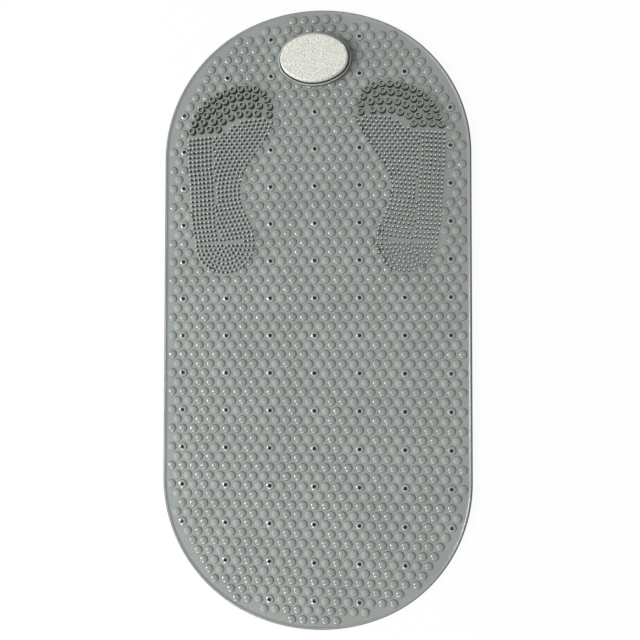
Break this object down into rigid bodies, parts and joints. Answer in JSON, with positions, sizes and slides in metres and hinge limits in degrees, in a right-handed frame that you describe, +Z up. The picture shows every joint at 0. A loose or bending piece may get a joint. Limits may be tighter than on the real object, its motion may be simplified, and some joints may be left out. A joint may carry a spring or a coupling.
{
  "type": "shower foot scrubber",
  "caption": "Soft vinyl shower mat that scrubs the feet, with domes, drain holes, suction cups, foot-shaped bristle fields and an oval pumice stone in a collar.",
  "frame": {"origin": "middle of the underside, at the level the suction cups rest on", "axes": "+Z up out of the bristles, +Y along the mat towards the pumice stone, +X to the right when the stone is at the far end"},
  "size_m": [0.35, 0.7, 0.0186],
  "materials": {
    "vinyl": "satin",
    "pumice": "matte"
  },
  "bodies": {
    "root": {"mat": "vinyl", "pumice_stone": "pumice"}
  },
  "joints": []
}
